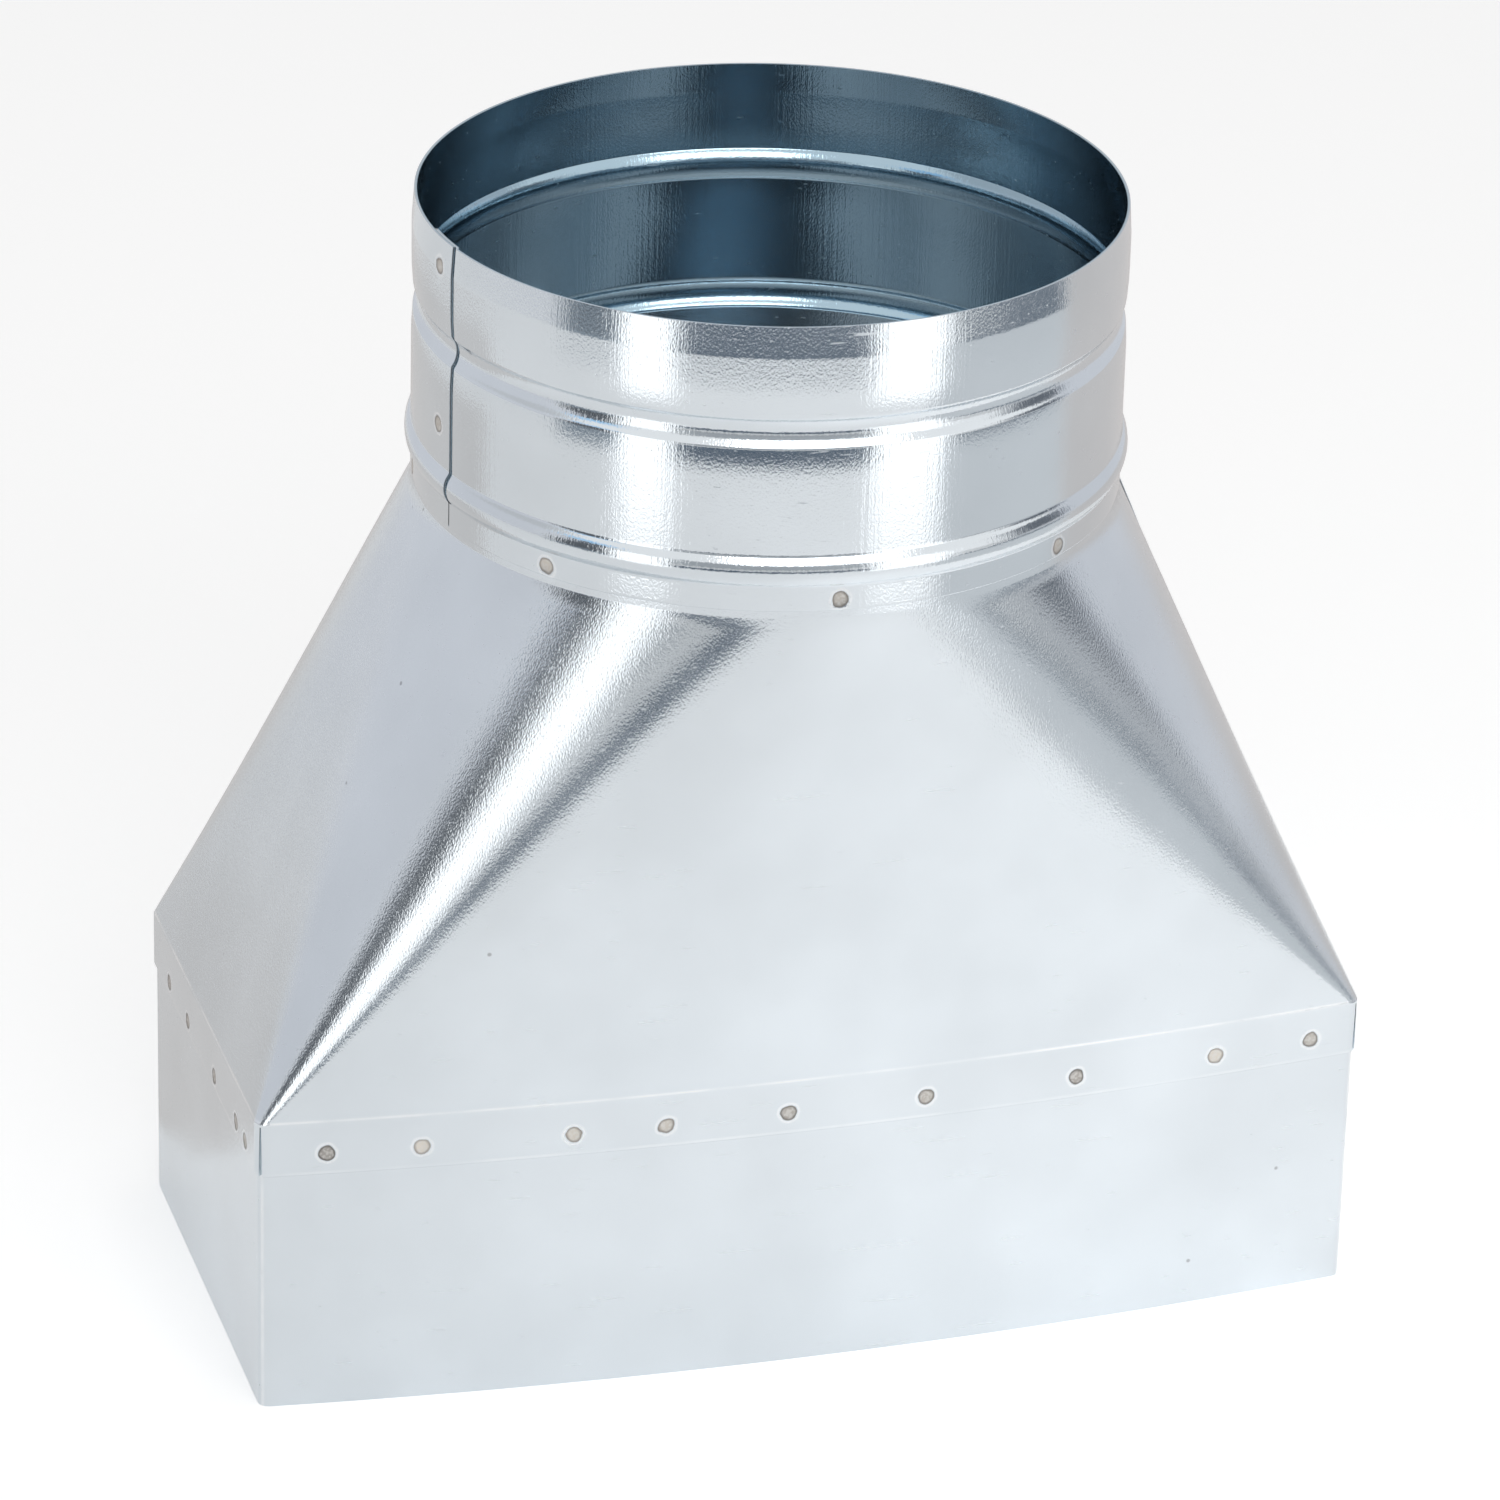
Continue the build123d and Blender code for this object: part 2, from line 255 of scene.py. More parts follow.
    # Painted shade: the inner side gets a darker, bluish colour for the shade inside the duct, by a share
    # each piece sets.
    inner_shaded = tuple(part * tint for part, tint in zip(zinc, inner_shade_tint))
    colour = mixed(figured("MULTIPLY", inner, inner_painted_shade), (*zinc, 1), (*inner_shaded, 1))
    clouded = wired(tree, "ShaderNodeVectorMath", {0: colour, "Scale": cloud}, operation="SCALE")
    colour = clouded.outputs["Vector"]
    for share, shade in ((speck, speck_grey), (painted_highlight, highlight_bright), (bare_cut_and_shade, cut_painted_shade),
                         (halo, halo_bright), (in_weld, button)):
        colour = mixed(share, colour, shade)
    tree.links.new(colour, metal.inputs["Base Color"])
    rough = ranged(clouds, 0.3, 0.7, gloss_loss - 0.02, gloss_loss + 0.02)
    rough = figured("MULTIPLY_ADD", in_weld, 0.2, rough)
    rough = figured("MULTIPLY_ADD", figured("MAXIMUM", halo, bare_cut_and_shade), 0.2, rough)
    rough = figured("MULTIPLY_ADD", scratch, 0.15, rough)
    tree.links.new(rough, metal.inputs["Roughness"])
    metal.inputs["Metallic"].default_value = 1.0

    relief = wired(tree, "ShaderNodeBump", {"Height": waves, "Strength": 1.0, "Distance": wave_depth})
    for height, depth in ((brushed, brushing_depth), (crystals, crystal_depth), (scratch, scratch_depth)):
        relief = wired(tree, "ShaderNodeBump", {"Height": height, "Strength": 1.0, "Distance": depth,
                                                "Normal": relief.outputs["Normal"]})
    tree.links.new(relief.outputs["Normal"], metal.inputs["Normal"])
    return material


free_edge = place_on_back(flat_lap_place)
step_low = place_on_back(flat_lap_place + seam_gap + joggle) + 8
step_high = place_on_back(flat_lap_place + seam_gap) + 8
tongue_end = place_on_back(flat_lap_place - flat_lap) + 8
columns = stretches([free_edge, 3, 4, 5, 6, 7, 8, 9, 10, step_low, step_high, tongue_end],
                    [40, 10, 16, 10, 60, 10, 16, 10, 16, 6, 4])
line_x = np.linspace(-2.5, 2.5, 11) * press_line_half
left_line, right_line = place_on_back(line_x - press_line_place), place_on_back(line_x + press_line_place)
columns = np.unique(np.concatenate([columns, left_line, 4 + right_line, 4 + left_line, 8 + right_line]))
rows = stretches([0, 0.002, flat_top - 0.002, flat_top], [2, 14, 2])
place, height = np.meshgrid(columns, rows)
depth = (sheet + lap_gap) * smooth_step((place - step_low) / (step_high - step_low))
line_x = np.abs(flat_outline(place, 0)[0]) - press_line_place
pressed = press_line_depth * np.exp(-(line_x / press_line_half) ** 2)
outer = np.stack([*flat_outline(place, -depth - pressed)[:2], height], -1)
inner = np.stack([*flat_outline(place, -depth - sheet)[:2], height], -1)
whole = np.ones((len(rows) - 1, len(columns) - 1), bool)
# Painted highlight along the corner bends.
corner_heading = np.abs(np.mod(flat_outline(place, 0)[2], math.pi / 2) - math.pi / 4)
painted_highlight = corner_highlight * np.clip(1 - corner_heading / painted_highlight_turn, 0, 1)
no_welds, no_tones = np.full(place.shape, far_from_weld), np.zeros(place.shape)
flat_collar = sheet_strip("flat_collar_strip", outer, inner, whole, no_welds, no_tones, painted_highlight)
flat_collar.data.materials.append(galvanised_steel(
    "flat_collar_steel", zinc, inner_painted_shade=0.0, gloss_loss=0.2,
    crystal_depth=0.00003, brushing_depth=0.000003, wave_depth=0.0001))
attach(flat_collar, "root")
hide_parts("flat_collar")

# Transition hood: one developed sheet of galvanised steel that turns the flat outline into a round one.
# A skirt below the fold is slit at its corners and spot welded around the flat collar; four rolled
# corners rise to a short neck, and the sheet's ends lap up the right side, the outer one stepped out.
fold = 0.0675
skirt_low = 0.0553
skirt_out = sheet + lap_gap
neck_start = 0.1815
neck_top = 0.18895
neck_radius = 0.0740
bend_ease = 0.0065
edge_radius = 0.0003
fold_ridge = 0.00008
fold_ridge_half = 0.0004
# Painted highlight lines just above the fold and the skirt's bottom edge: strength, height above, half
# width.
fold_highlight, fold_highlight_above, fold_highlight_half = 0.75, 0.0004, 0.0003
edge_highlight, edge_highlight_above, edge_highlight_half = 0.5, 0.0005, 0.0002
slit_high = fold - sheet
slit_half_high = 0.00015
slit_half_low = 0.00045
slit_reach = 0.4
slit_mark = 0.0001
hood_lap_half = 0.007
hood_lap_low = 0.070
weld_radius = 0.0019
weld_depth = 0.00015
weld_pull = 0.00004
weld_band_low = 0.0563
weld_band_high = 0.0623
long_weld_shares = np.array([-0.885, -0.72, -0.455, -0.29, -0.07, 0.18, 0.46, 0.725, 0.91])
short_weld_shares = np.array([0.66, 0.30, -0.21, -0.62, -0.79])
long_weld_tones = np.array([0.9, 0.1, 0.25, 0.4, 0.75, 0.65, 0.85, 0.2, 0.6])
short_weld_tones = np.full(5, 0.8)
long_weld_height = fold - 0.0072
short_weld_height = fold - 0.0092
hood_lap_welds = 4


def hood_face(place, height, out):
    """Points of the hood, `out` outside its outer face.

    Below the fold a point is on the flat outline and above the neck's start on a circle. Between
    them it goes evenly along a straight line from the outline to the circle's point that faces the
    same way. Then each height's outline is blurred along itself by a bell curve, widest halfway up,
    because springy sheet goes over from flat to bend without a line.
    """
    rise = np.clip((height - fold) / (neck_start - fold), 0, 1)
    bare = [None, None]
    closed = [None, None]
    spots_an_edge, samples, narrowest = 400, 4096, 0.0002
    spots_round = np.arange(8 * spots_an_edge + 1) / spots_an_edge
    whole_round = np.broadcast_to(spots_round[:-1], (len(place), 8 * spots_an_edge))
    for turn, spots in ((bare, place), (closed, whole_round)):
        foot_x, foot_y, heading = flat_outline(spots, skirt_out + (out if turn is bare else 0))
        share = rise if turn is bare else rise[:, :1]
        head = neck_radius + (out if turn is bare else 0)
        turn[0] = (1 - share) * foot_x + share * head * np.cos(heading)
        turn[1] = (1 - share) * foot_y + share * head * np.sin(heading)
    for row in range(len(place)):
        width = 4 * rise[row, 0] * (1 - rise[row, 0]) * bend_ease
        if width > narrowest:
            ring = np.stack([closed[0][row], closed[1][row]])
            steps = np.linalg.norm(np.diff(ring, axis=1, append=ring[:, :1]), axis=0)
            length = np.concatenate([[0], np.cumsum(steps)])
            even = np.linspace(0, length[-1], samples + 1)[:-1]
            wave_number = 2 * math.pi * np.fft.rfftfreq(samples, length[-1] / samples)
            bell = np.exp(-(wave_number * width) ** 2 / 2)
            own_length = np.interp(np.mod(place[row], 8), spots_round, length)
            for axis in (0, 1):
                level = np.interp(even, length, np.append(ring[axis], ring[axis, 0]))
                eased = np.fft.irfft(np.fft.rfft(level) * bell, samples)
                bare[axis][row] += np.interp(own_length, even, eased - level, period=length[-1])
    return np.stack([*bare, height], -1)


def place_on_right(y, rise):
    """Place on the hood's right side, a share `rise` of the way up, at a distance y behind the middle.

    The side's flat triangle narrows with the rise, and past its edge the place goes on round the corner.
    """
    flat = np.maximum((1 - rise) * bend_y, 1e-9)
    round_part = (1 - rise) * (corner_bend + skirt_out) + rise * neck_radius
    beyond = np.arcsin(np.clip((np.abs(y) - flat) / round_part, 0, 1)) / corner_turn
    return 0.5 + np.sign(y) * (np.minimum(np.abs(y) / flat, 1) / 2 + beyond)


def edge_rounding(distance):
    """How far a cut edge's burr-free corner falls back, at a distance from the edge: a quarter circle."""
    share = 1 - np.clip(distance / edge_radius, 0, 1)
    return edge_radius * (1 - np.sqrt(1 - share ** 2))


def weld_distance(points, welds):
    """Distance from each point to the nearest weld's middle, and that weld's number."""
    distance = np.linalg.norm(points[:, :, None] - welds, axis=-1)
    return distance.min(-1), distance.argmin(-1)


def weld_dish(distance):
    """Depth of the ball cap that the electrode leaves, and of the wide shallow pull around it."""
    ball = (weld_radius ** 2 + weld_depth ** 2) / (2 * weld_depth)
    cap = np.maximum(np.sqrt(np.maximum(ball ** 2 - distance ** 2, 0)) - ball + weld_depth, 0)
    return cap + weld_pull * np.exp(-(distance / (2 * weld_radius)) ** 2)


def pushed_in(points, amount):
    """Points moved inward by an amount, square to the grid's own surface."""
    along_column = np.gradient(points, axis=0)
    along_row = np.gradient(points, axis=1)
    out = np.cross(along_row, along_column)
    out /= np.maximum(np.linalg.norm(out, axis=-1, keepdims=True), 1e-12)
    return points - amount[..., None] * out


around_weld = np.array([0.3, 0.6, 0.85, 1.1, 1.8, 2.8]) * weld_radius
around_weld = np.concatenate([-around_weld[::-1], [0], around_weld])
long_x = ((long_weld_shares * half_width)[:, None] + around_weld).ravel()
side_y = ((short_weld_shares * half_depth)[:, None] + around_weld).ravel()
back_x = ((long_weld_shares * half_width)[:, None] + around_weld[[1, 3, 4, 6, 8, 9, 11]]).ravel()
lap_y = np.concatenate([[-hood_lap_half, -0.0055, -0.0035], around_weld[2:11],
                        [0.0035, hood_lap_half - joggle]])
step_y = np.linspace(hood_lap_half - joggle, hood_lap_half, 9)
inner_y = hood_lap_half - joggle - seam_gap
slits = np.array([1, 4, 5, 8]) + np.array([1, -1, 1, -1]) * (math.pi / 4) / corner_turn
slit_sides = np.concatenate([slits - slit_mark, slits + slit_mark])
fixed = np.concatenate([stretches([1.5, 2, 3, 4, 5, 6, 7, 7.5], [14, 20, 28, 14, 28, 44, 14]), slit_sides,
                        place_on_back(back_x), 4 + place_on_back(-long_x), 4.5 - side_y / (2 * bend_y)])
fixed = np.unique(fixed)
fixed = fixed[(fixed >= 1.5) & (fixed <= 7.5)]
lap_pitch = (neck_start - hood_lap_low) / hood_lap_welds
lap_heights = hood_lap_low + (np.arange(hood_lap_welds) + 0.5) * lap_pitch
beside_lap_welds = (lap_heights[:, None] + 1.3 * weld_radius * np.array([-1, 1])).ravel()
skirt_stops = [skirt_low, skirt_low + edge_radius, weld_band_low, weld_band_high, slit_high, fold,
               fold + 3 * fold_ridge_half, hood_lap_low]
rows = np.concatenate([stretches(skirt_stops, [4, 2, 15, 4, 4, 7, 2]),
                       stretches([hood_lap_low, *beside_lap_welds, neck_start],
                                 [4, 6, 3, 6, 3, 6, 3, 6, 4]),
                       [neck_start, 0.1819, 0.1835, neck_top]])
rise = np.clip((rows - fold) / (neck_start - fold), 0, 1)[:, None]
lap_edge = place_on_right(hood_lap_half, rise)
lap_edge_low = place_on_right(hood_lap_half, 0)
inner_edge = 8 + place_on_right(inner_y, rise)
inner_edge_low = 8 + place_on_right(inner_y, 0)
right_welds = place_on_right(side_y, 0)
rising = right_welds[right_welds > lap_edge_low]
rising = np.unique(np.concatenate([stretches([lap_edge_low, 1, 1.5], [8, 15]), rising]))
rising_share = (rising[1:-1] - lap_edge_low) / (1.5 - lap_edge_low)
ending = 8 + right_welds[right_welds < inner_edge_low - 8]
ending = np.unique(np.concatenate([stretches([7.5, 8, inner_edge_low], [15, 10]), ending]))
ending_share = (ending[1:] - 7.5) / (inner_edge_low - 7.5)
place = np.concatenate([place_on_right(lap_y[:-1], rise), place_on_right(step_y, rise),
                        lap_edge + rising_share * (1.5 - lap_edge),
                        np.broadcast_to(fixed, (len(rows), len(fixed))),
                        7.5 + ending_share * (inner_edge - 7.5)], 1)
height = np.broadcast_to(rows[:, None], place.shape)
lap_columns = len(lap_y) - 1
step_share = np.zeros(place.shape[1])
step_share[:lap_columns] = 1
step_share[lap_columns:lap_columns + 9] = smooth_step(np.linspace(1, 0, 9))
slit_left = (np.abs(place[0][:, None] - slits + slit_mark) < 1e-6).any(1)
slit_right = (np.abs(place[0][:, None] - slits - slit_mark) < 1e-6).any(1)
slit_half = np.interp(rows, [skirt_low, slit_high, fold], [slit_half_low, slit_half_high, 0])
slit_turn = (np.arcsin(slit_half / (corner_bend + skirt_out)) / corner_turn)[:, None]
from_slit = place - slits[np.abs(place[..., None] - slits).argmin(-1)]
place = place + np.sign(from_slit) * slit_turn * np.clip(1 - np.abs(from_slit) / slit_reach, 0, 1)
row_index = np.arange(len(rows))
first_lap_row = int(np.argmax(rows == hood_lap_low)) + 1
last_lap_row = int(np.argmax(rows == neck_start))
lapped = (row_index >= first_lap_row) & (row_index <= last_lap_row)
out = (sheet + lap_gap) * lapped[:, None] * step_share
ridge_share = np.sin(flat_outline(place, 0)[2]) ** 2
out = out + fold_ridge * ridge_share * np.exp(-((height - fold) / fold_ridge_half) ** 2)
outer = hood_face(place, height, out)
inner = hood_face(place, height, out - sheet)
long_welds = np.stack([long_weld_shares * half_width, np.zeros(9), np.full(9, long_weld_height)], -1)
long_welds[:, 1] = bow_centre + np.sqrt((bow_radius + skirt_out) ** 2 - long_welds[:, 0] ** 2)
short_welds = np.stack([np.full(5, half_width + skirt_out), short_weld_shares * half_depth,
                        np.full(5, short_weld_height)], -1)
lap_foot, lap_head = half_width + 2 * skirt_out, neck_radius + skirt_out
lap_welds = np.stack([lap_foot - (lap_foot - lap_head) * (lap_heights - fold) / (neck_start - fold),
                      np.zeros(hood_lap_welds), lap_heights], -1)
hood_welds = np.concatenate([long_welds, long_welds * (1, -1, 1), short_welds, short_welds * (-1, 1, 1),
                             lap_welds])
hood_tones = np.concatenate([long_weld_tones, long_weld_tones, short_weld_tones, short_weld_tones,
                             np.full(hood_lap_welds, 0.5)])
distance, nearest = weld_distance(outer, hood_welds)
outer = pushed_in(outer, weld_dish(distance) + edge_rounding(height - skirt_low))
keep = np.ones((len(rows) - 1, place.shape[1] - 1), bool)
cell_lapped = (row_index[:-1] >= first_lap_row) & (row_index[:-1] < last_lap_row)
keep[:, :lap_columns] = cell_lapped[:, None]
in_slit = np.flatnonzero(slit_left[:-1] & slit_right[1:])
keep[:, in_slit] = ((rows[1:] + rows[:-1]) / 2 > slit_high)[:, None]
# Painted highlight lines just above the fold and the skirt's bottom edge.
painted_highlight = fold_highlight * np.exp(-((height - fold - fold_highlight_above) / fold_highlight_half) ** 2)
painted_highlight += edge_highlight * np.exp(-((height - skirt_low - edge_highlight_above) / edge_highlight_half) ** 2)
hood = sheet_strip("transition_hood_sheet", outer, inner, keep, distance / weld_radius,
                   hood_tones[nearest], painted_highlight)
# Its inner side carries a little of the painted bluish shade.
hood.data.materials.append(galvanised_steel(
    "hood_steel", zinc, inner_painted_shade=0.3, gloss_loss=0.17,
    crystal_depth=0.00004, brushing_depth=0.000003, wave_depth=0.0001))
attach(hood, "root")
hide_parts("transition_hood")

# Round collar: a strip of galvanised steel rolled once round, with its ends lapped and spot welded.
# It is swaged with a stiffening groove and a stop bead, its rim is drawn in slightly as a lead, and
# its bottom flange is spot welded around the hood's neck.
spigot_radius = 0.07465
collar_bottom = 0.1835
rim_height = 0.2455
lip_height = 0.0065
lip_taper = 0.00045
groove_middle = 0.2225
groove_half = 0.0035
groove_depth = 0.0015
bead_middle = 0.19225
bead_half = 0.00325
bead_height = 0.0013
seam_angle = math.radians(-167.3)
collar_lap = 0.011
crease_width = 0.0006
wall_step = 0.00002
groove_pull_length = 0.0045
groove_pull = 0.00026
flange_weld_angles = np.radians([-142.8, -94.4, -52.4, -8.0, 37.0, 82.0, 127.0, 172.0])
flange_weld_height = collar_bottom + 0.0024
collar_lap_weld_heights = rim_height - np.array([0.006, 0.041])


def swage(height, middle, half, depth):
    """How far a bead or groove stands off the wall: a circle's arc through its two edges and its crown."""
    radius = (half ** 2 + depth ** 2) / (2 * depth)
    chord = np.sqrt(np.maximum(radius ** 2 - (height - middle) ** 2, 0)) - radius + depth
    return np.where(np.abs(height - middle) < half, chord, 0)


def collar_wall(height):
    """Radius of the collar's outer face at a height, and its outward direction as radial and upward parts.

    The straight wall carries the bead's arc, less the groove's arc and the taper of the lip. Beside
    the groove the swage has pulled the wall in a little, and a moving average rounds the creases.
    """
    fine = np.arange(collar_bottom - 0.003, rim_height + 0.003, wall_step)
    wall = spigot_radius + swage(fine, bead_middle, bead_half, bead_height)
    beside = np.clip((np.abs(fine - groove_middle) - groove_half) / groove_pull_length, 0, 1)
    groove = swage(fine, groove_middle, groove_half, groove_depth)
    wall -= np.maximum(groove, groove_pull * (1 - beside) ** 1.3)
    wall -= lip_taper * np.maximum(fine - rim_height + lip_height, 0) / lip_height
    count = int(round(crease_width / wall_step))
    rounded = np.convolve(np.pad(wall, count, "edge"), np.full(count, 1 / count), "same")[count:-count]
    slope = np.interp(height, fine, np.gradient(rounded, fine))
    length = np.sqrt(1 + slope ** 2)
    return np.interp(height, fine, rounded), 1 / length, -slope / length


def collar_face(angle, height, depth):
    """Points of the collar at an angle and height, `depth` inside its outer face and square to it."""
    radius, radial, upward = collar_wall(height)
    across = radius - depth * radial
    return np.stack([across * np.cos(angle), across * np.sin(angle), height - depth * upward], -1)


wall_start = seam_angle + seam_gap / spigot_radius
step_stop = wall_start + joggle / spigot_radius
tongue_end = seam_angle - collar_lap / spigot_radius
weld_turns = (flange_weld_angles[:, None] + around_weld / spigot_radius).ravel()
weld_turns = np.where(weld_turns < step_stop, weld_turns + 2 * math.pi, weld_turns)
lap_weld_turns = seam_angle + 2 * math.pi + (around_weld - collar_lap / 2) / spigot_radius
columns = stretches([tongue_end, wall_start, step_stop, seam_angle + 2 * math.pi], [12, 8, 250])
columns = np.unique(np.concatenate([columns, weld_turns, lap_weld_turns]))
lap_row = bead_middle - bead_half
wall_stops = [lap_row, 0.1962, 0.2023, 0.2067, 0.2182, 0.2268, 0.2374, 0.2416, rim_height]
rows = np.concatenate([stretches([collar_bottom, collar_bottom + edge_radius, 0.1880, lap_row], [4, 12, 4]),
                       stretches(wall_stops, [24, 4, 12, 4, 28, 4, 12, 5])])
angle, height = np.meshgrid(columns, rows)
row_index = np.arange(len(rows))
first_lap_row = int(np.argmax(rows == lap_row)) + 1
stepped = (row_index >= first_lap_row)[:, None]
step_share = smooth_step((step_stop - angle) / (step_stop - wall_start))
depth = np.where(stepped, (sheet + lap_gap) * step_share, 0)
outer = collar_face(angle, height, depth)
inner = collar_face(angle, height, depth + sheet)
flange_welds = np.stack([spigot_radius * np.cos(flange_weld_angles),
                         spigot_radius * np.sin(flange_weld_angles), np.full(8, flange_weld_height)], -1)
lap_weld_angle = seam_angle - collar_lap / 2 / spigot_radius
lap_welds = np.stack([np.full(2, spigot_radius * math.cos(lap_weld_angle)),
                      np.full(2, spigot_radius * math.sin(lap_weld_angle)), collar_lap_weld_heights], -1)
distance, nearest = weld_distance(outer, np.concatenate([flange_welds, lap_welds]))
distance = np.where(angle > step_stop, distance, 1.0)
outer = pushed_in(outer, weld_dish(distance) + edge_rounding(height - collar_bottom))
collar_tones = np.array([0.3, 0.6, 0.35, 0.5, 0.5, 0.5, 0.5, 0.5, 0.45, 0.45])
keep = np.ones((len(rows) - 1, len(columns) - 1), bool)
on_tongue = (columns[1:] + columns[:-1]) / 2 < wall_start
keep &= ~on_tongue[None, :] | (row_index[:-1] >= first_lap_row)[:, None]
round_collar = sheet_strip("round_collar_strip", outer, inner, keep, distance / weld_radius,
                           collar_tones[nearest], np.zeros(angle.shape))
# Its inner side carries the full painted bluish shade.
round_collar.data.materials.append(galvanised_steel(
    "round_collar_steel", zinc, inner_painted_shade=1.0, gloss_loss=0.13,
    crystal_depth=0.000025, brushing_depth=0.00003, wave_depth=0.00003))
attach(round_collar, "root")
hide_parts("round_collar")

# Floor: a plain white studio floor that keeps the shadow. It looks a little lighter than it is lit,
# to the camera and to the metal.
floor_half = 4.0
floor_lift_camera = 0.41
floor_lift_metal = 0.25
floor_mesh = bpy.data.meshes.new("studio_floor")
floor_mesh.from_pydata([(-floor_half, -floor_half, 0), (floor_half, -floor_half, 0),
                        (floor_half, floor_half, 0), (-floor_half, floor_half, 0)], [], [(0, 1, 2, 3)])
floor = bpy.data.objects.new("studio_floor", floor_mesh)
bpy.context.collection.objects.link(floor)
floor_paint = bpy.data.materials.new("floor_paint")
floor_paint.use_nodes = True
tree = floor_paint.node_tree
matt = tree.nodes["Principled BSDF"]
matt.inputs["Base Color"].default_value = (0.92, 0.92, 0.92, 1)
matt.inputs["Roughness"].default_value = 1.0
matt.inputs["Specular IOR Level"].default_value = 0.0
matt.inputs["Emission Color"].default_value = (1, 1, 1, 1)
seen_by = wired(tree, "ShaderNodeLightPath", {})
metal_lift = wired(tree, "ShaderNodeMath", {0: seen_by.outputs["Is Glossy Ray"], 1: floor_lift_metal},
                   operation="MULTIPLY")
lift = wired(tree, "ShaderNodeMath", {0: seen_by.outputs["Is Camera Ray"], 1: floor_lift_camera,
                                      2: metal_lift.outputs["Value"]}, operation="MULTIPLY_ADD")
tree.links.new(lift.outputs["Value"], matt.inputs["Emission Strength"])
floor_mesh.materials.append(floor_paint)

# Light: an even surround, a softbox overhead, one in front and a spot on the floor at the front
# right. Two white cards stand in front, dark ones beside and below them and pale grey ones behind.
# Only the metal sees the cards, and the camera sees no lamp.
surround_light = 0.42
world = bpy.data.worlds.new("studio_surround")
bpy.context.scene.world = world
world.use_nodes = True
tree = world.node_tree
background = tree.nodes["Background"]
background.inputs["Color"].default_value = (1, 1, 1, 1)
seen_by = wired(tree, "ShaderNodeLightPath", {})
either = wired(tree, "ShaderNodeMath", {0: seen_by.outputs["Is Camera Ray"],
                                        1: seen_by.outputs["Is Glossy Ray"]}, operation="MAXIMUM")
level = wired(tree, "ShaderNodeMapRange", {"Value": either.outputs["Value"], 3: surround_light, 4: 1.0})
tree.links.new(level.outputs["Result"], background.inputs["Strength"])


def studio_card(name, start, stop, near, far, low, high, shade):
    """Card bent round the object from one direction to another in degrees, with the shade it is seen in.

    It rises evenly from its near distance and low height to its far distance and high height.
    """
    cells = 32
    turn, rise = np.meshgrid(np.radians(np.linspace(start, stop, cells + 1)), [0, 1])
    distance = near + (far - near) * rise
    points = np.stack([distance * np.cos(turn), distance * np.sin(turn), low + (high - low) * rise], -1)
    first = np.arange(cells)
    faces = np.stack([first + 1, first, first + cells + 1, first + cells + 2], -1)
    mesh = bpy.data.meshes.new(name)
    mesh.from_pydata(points.reshape(-1, 3).tolist(), [], faces.tolist())
    paint = bpy.data.materials.new(name + "_paint")
    paint.use_nodes = True
    matt = paint.node_tree.nodes["Principled BSDF"]
    matt.inputs["Base Color"].default_value = (0, 0, 0, 1)
    matt.inputs["Specular IOR Level"].default_value = 0.0
    matt.inputs["Emission Color"].default_value = (*shade, 1)
    matt.inputs["Emission Strength"].default_value = 1.0
    mesh.materials.append(paint)
    card = bpy.data.objects.new(name, mesh)
    bpy.context.collection.objects.link(card)
    card.visible_camera = False
    card.visible_diffuse = False
    card.visible_shadow = False


def studio_lamp(name, kind, spot, facing, energy):
    """Lamp of a kind at a spot, facing a point. The camera doesn't see it."""
    lamp = bpy.data.lights.new(name, kind)
    lamp.energy = energy
    holder = bpy.data.objects.new(name, lamp)
    bpy.context.collection.objects.link(holder)
    holder.location = spot
    holder.rotation_euler = (Vector(spot) - Vector(facing)).to_track_quat("Z", "Y").to_euler()
    holder.visible_camera = False
    return lamp


def softbox(name, spot, facing, width, high, glow):
    """Flat lamp of a width and height, whose glow is the brightness seen in it."""
    lamp = studio_lamp(name, "AREA", spot, facing, glow * math.pi * width * high)
    lamp.shape = "RECTANGLE"
    lamp.size = width
    lamp.size_y = high


dark, blue_dark, white = (0.11, 0.12, 0.135), (0.10, 0.135, 0.18), (1.6, 1.6, 1.6)
middle, pale = (0.5, 0.51, 0.53), (0.71, 0.72, 0.76)
studio_card("dark_card_left", -170, -151.5, 0.88, 0.88, 0, 0.3, dark)
studio_card("dark_card_left_high", -165, -153.5, 0.88, 0.88, 0.3, 0.52, dark)
studio_card("grey_card_left_high", -172, -165, 0.88, 0.88, 0.3, 0.52, pale)
studio_card("dark_card_left_low", -172, -149, 0.68, 0.88, 0.002, 0.03, (0.25, 0.295, 0.34))
studio_card("dark_card_front_low", -133, -75, 0.67, 0.88, 0.002, 0.07, blue_dark)
studio_card("dark_card_front_high", -133, -75, 0.88, 0.88, 0.17, 0.52, (0.42, 0.44, 0.46))
studio_card("middle_card_right", -31, -25, 0.88, 0.88, 0, 0.52, middle)
studio_card("middle_card_right_low", -25, -6, 0.88, 0.88, 0, 0.12, (0.6, 0.61, 0.63))
studio_card("dark_card_right", -25, -6, 0.88, 0.88, 0.12, 0.52, (0.14, 0.155, 0.18))
studio_card("dark_card_right_low", -48, -5, 0.76, 0.88, 0.002, 0.02, blue_dark)
studio_card("grey_card_right_floor", -55, -3, 0.29, 0.76, 0.002, 0.002, (0.67, 0.69, 0.71))
studio_card("grey_card_back", -6, 187, 0.88, 0.88, 0, 0.52, pale)
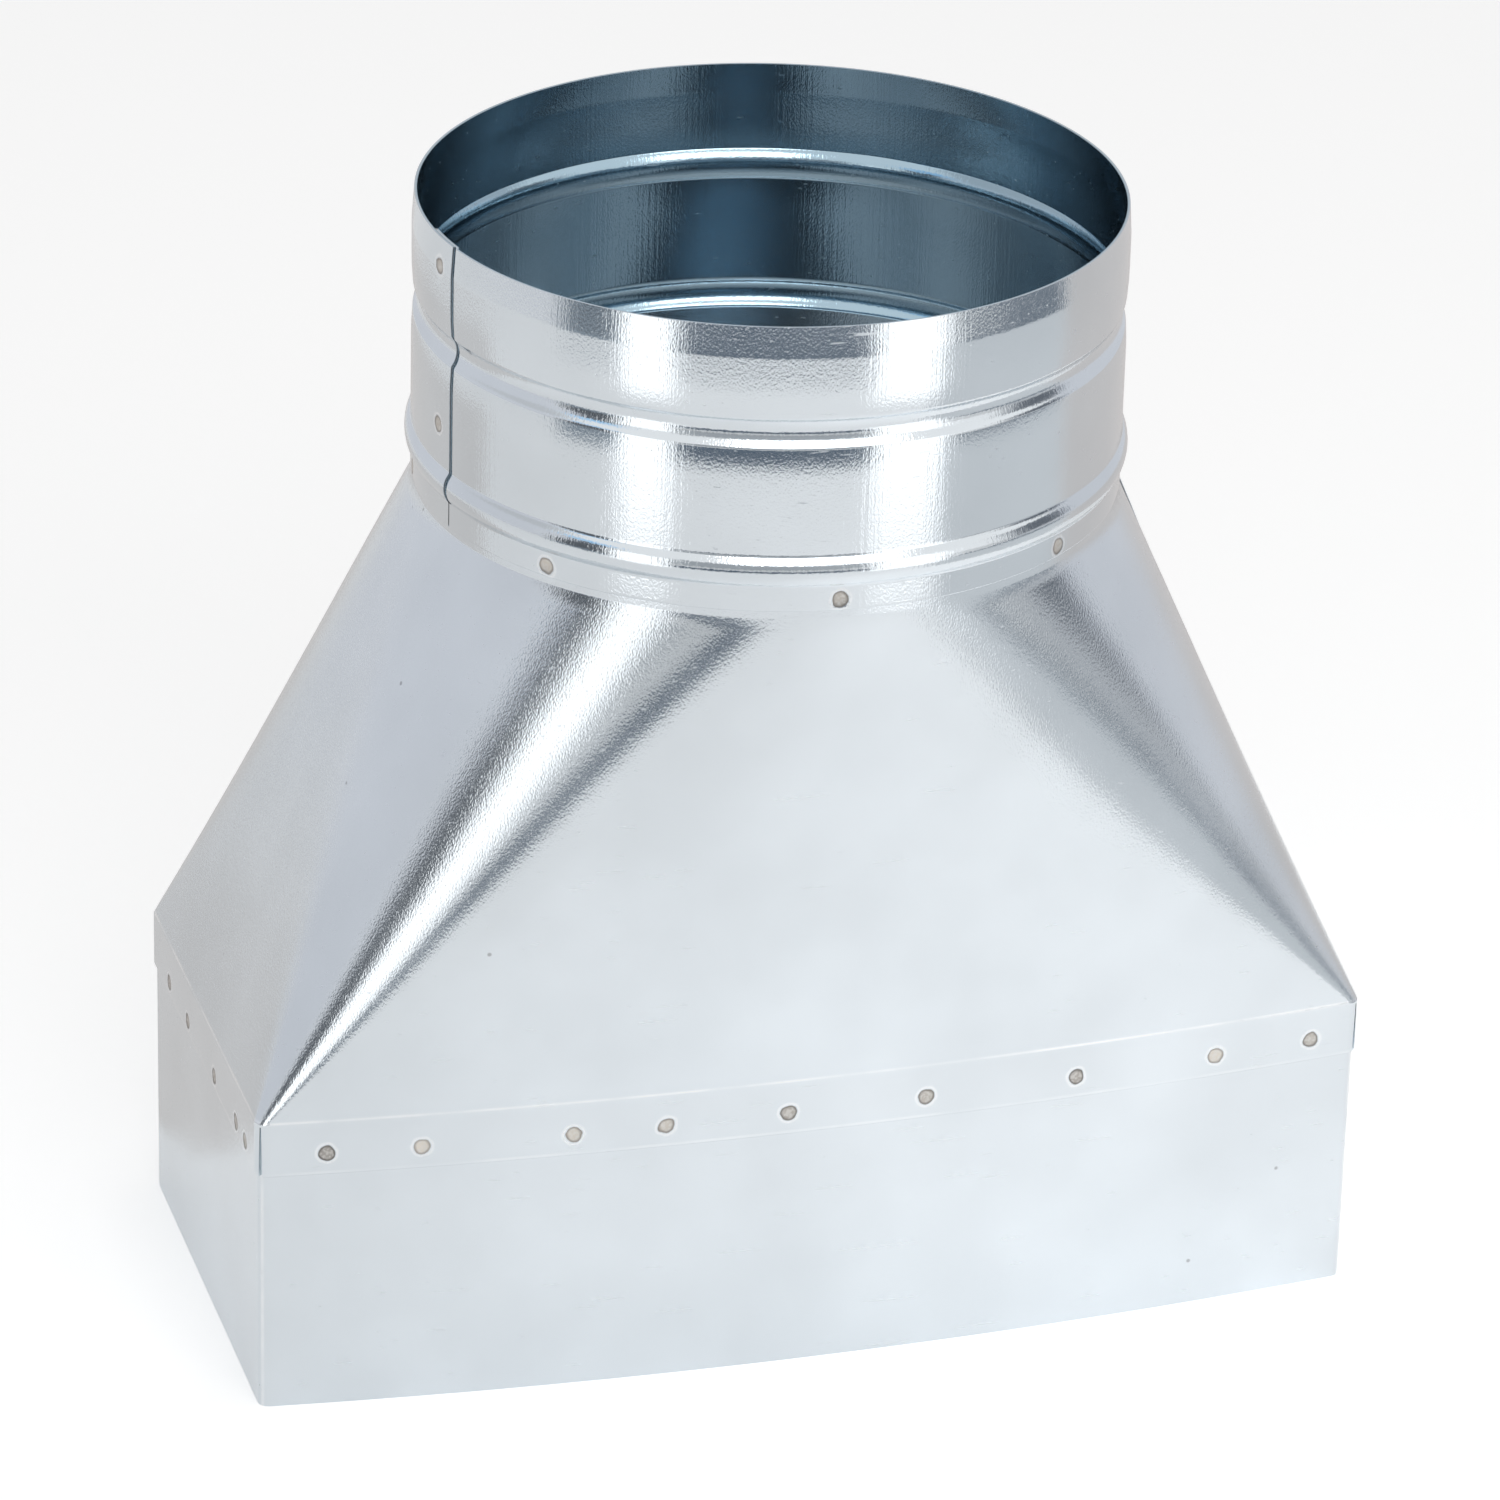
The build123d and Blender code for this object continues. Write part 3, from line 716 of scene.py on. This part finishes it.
studio_card("grey_card_back_high", -8, 187, 0.88, 0.88, 0.52, 1.1, (0.62, 0.63, 0.65))
studio_card("warm_card_right_floor", -3, 95, 0.36, 0.88, 0.002, 0.03, (0.66, 0.63, 0.62))
studio_card("warm_card_left_floor", 95, 158, 0.145, 0.6, 0.002, 0.002, (0.66, 0.64, 0.63))
studio_card("blue_card_left", -170, -154, 0.88, 0.88, 0.52, 0.68, (0.45, 0.72, 1.0))
studio_card("white_card_left", -150.5, -134.5, 0.5, 0.5, 0, 0.34, white)
studio_card("white_card_right", -74.5, -53.5, 0.5, 0.5, 0, 0.34, white)
softbox("softbox_overhead", (0, 0, 1.7), (0, 0, 0), 0.6, 0.6, 3.0)
softbox("softbox_front", (0, -1.2, 0.95), (0, 0, 0.15), 1.2, 0.6, 2.4)
pool = studio_lamp("pool_lamp", "SPOT", (0.34, -0.5, 0.95), (0.17, -0.14, 0), 10.0)
pool.spot_size = math.radians(28)
pool.spot_blend = 1.0
pool.shadow_soft_size = 0.08

# Camera: the photograph's viewpoint, a long lens a little to the left of the front and above it.
lens_length = 190.63
sensor_width = 36
camera_distance = 1.70055
yaw, pitch, roll = math.radians(-16.72), math.radians(25.60), math.radians(1.54)
look_at = Vector((-0.001614, 0, 0.116953))
back = Vector((math.sin(yaw) * math.cos(pitch), -math.cos(yaw) * math.cos(pitch), math.sin(pitch)))
right = (-back).cross(Vector((0, 0, 1))).normalized()
up = right.cross(-back)
side_axis = right * math.cos(roll) + up * math.sin(roll)
up_axis = up * math.cos(roll) - right * math.sin(roll)
spot = look_at + back * camera_distance
camera_data = bpy.data.cameras.new("camera")
camera_data.lens = lens_length
camera_data.sensor_width = sensor_width
camera = bpy.data.objects.new("camera", camera_data)
bpy.context.collection.objects.link(camera)
camera.matrix_world = Matrix(((side_axis.x, up_axis.x, back.x, spot.x),
                              (side_axis.y, up_axis.y, back.y, spot.y),
                              (side_axis.z, up_axis.z, back.z, spot.z), (0, 0, 0, 1)))
bpy.context.scene.camera = camera
bpy.context.scene.view_settings.view_transform = "Standard"
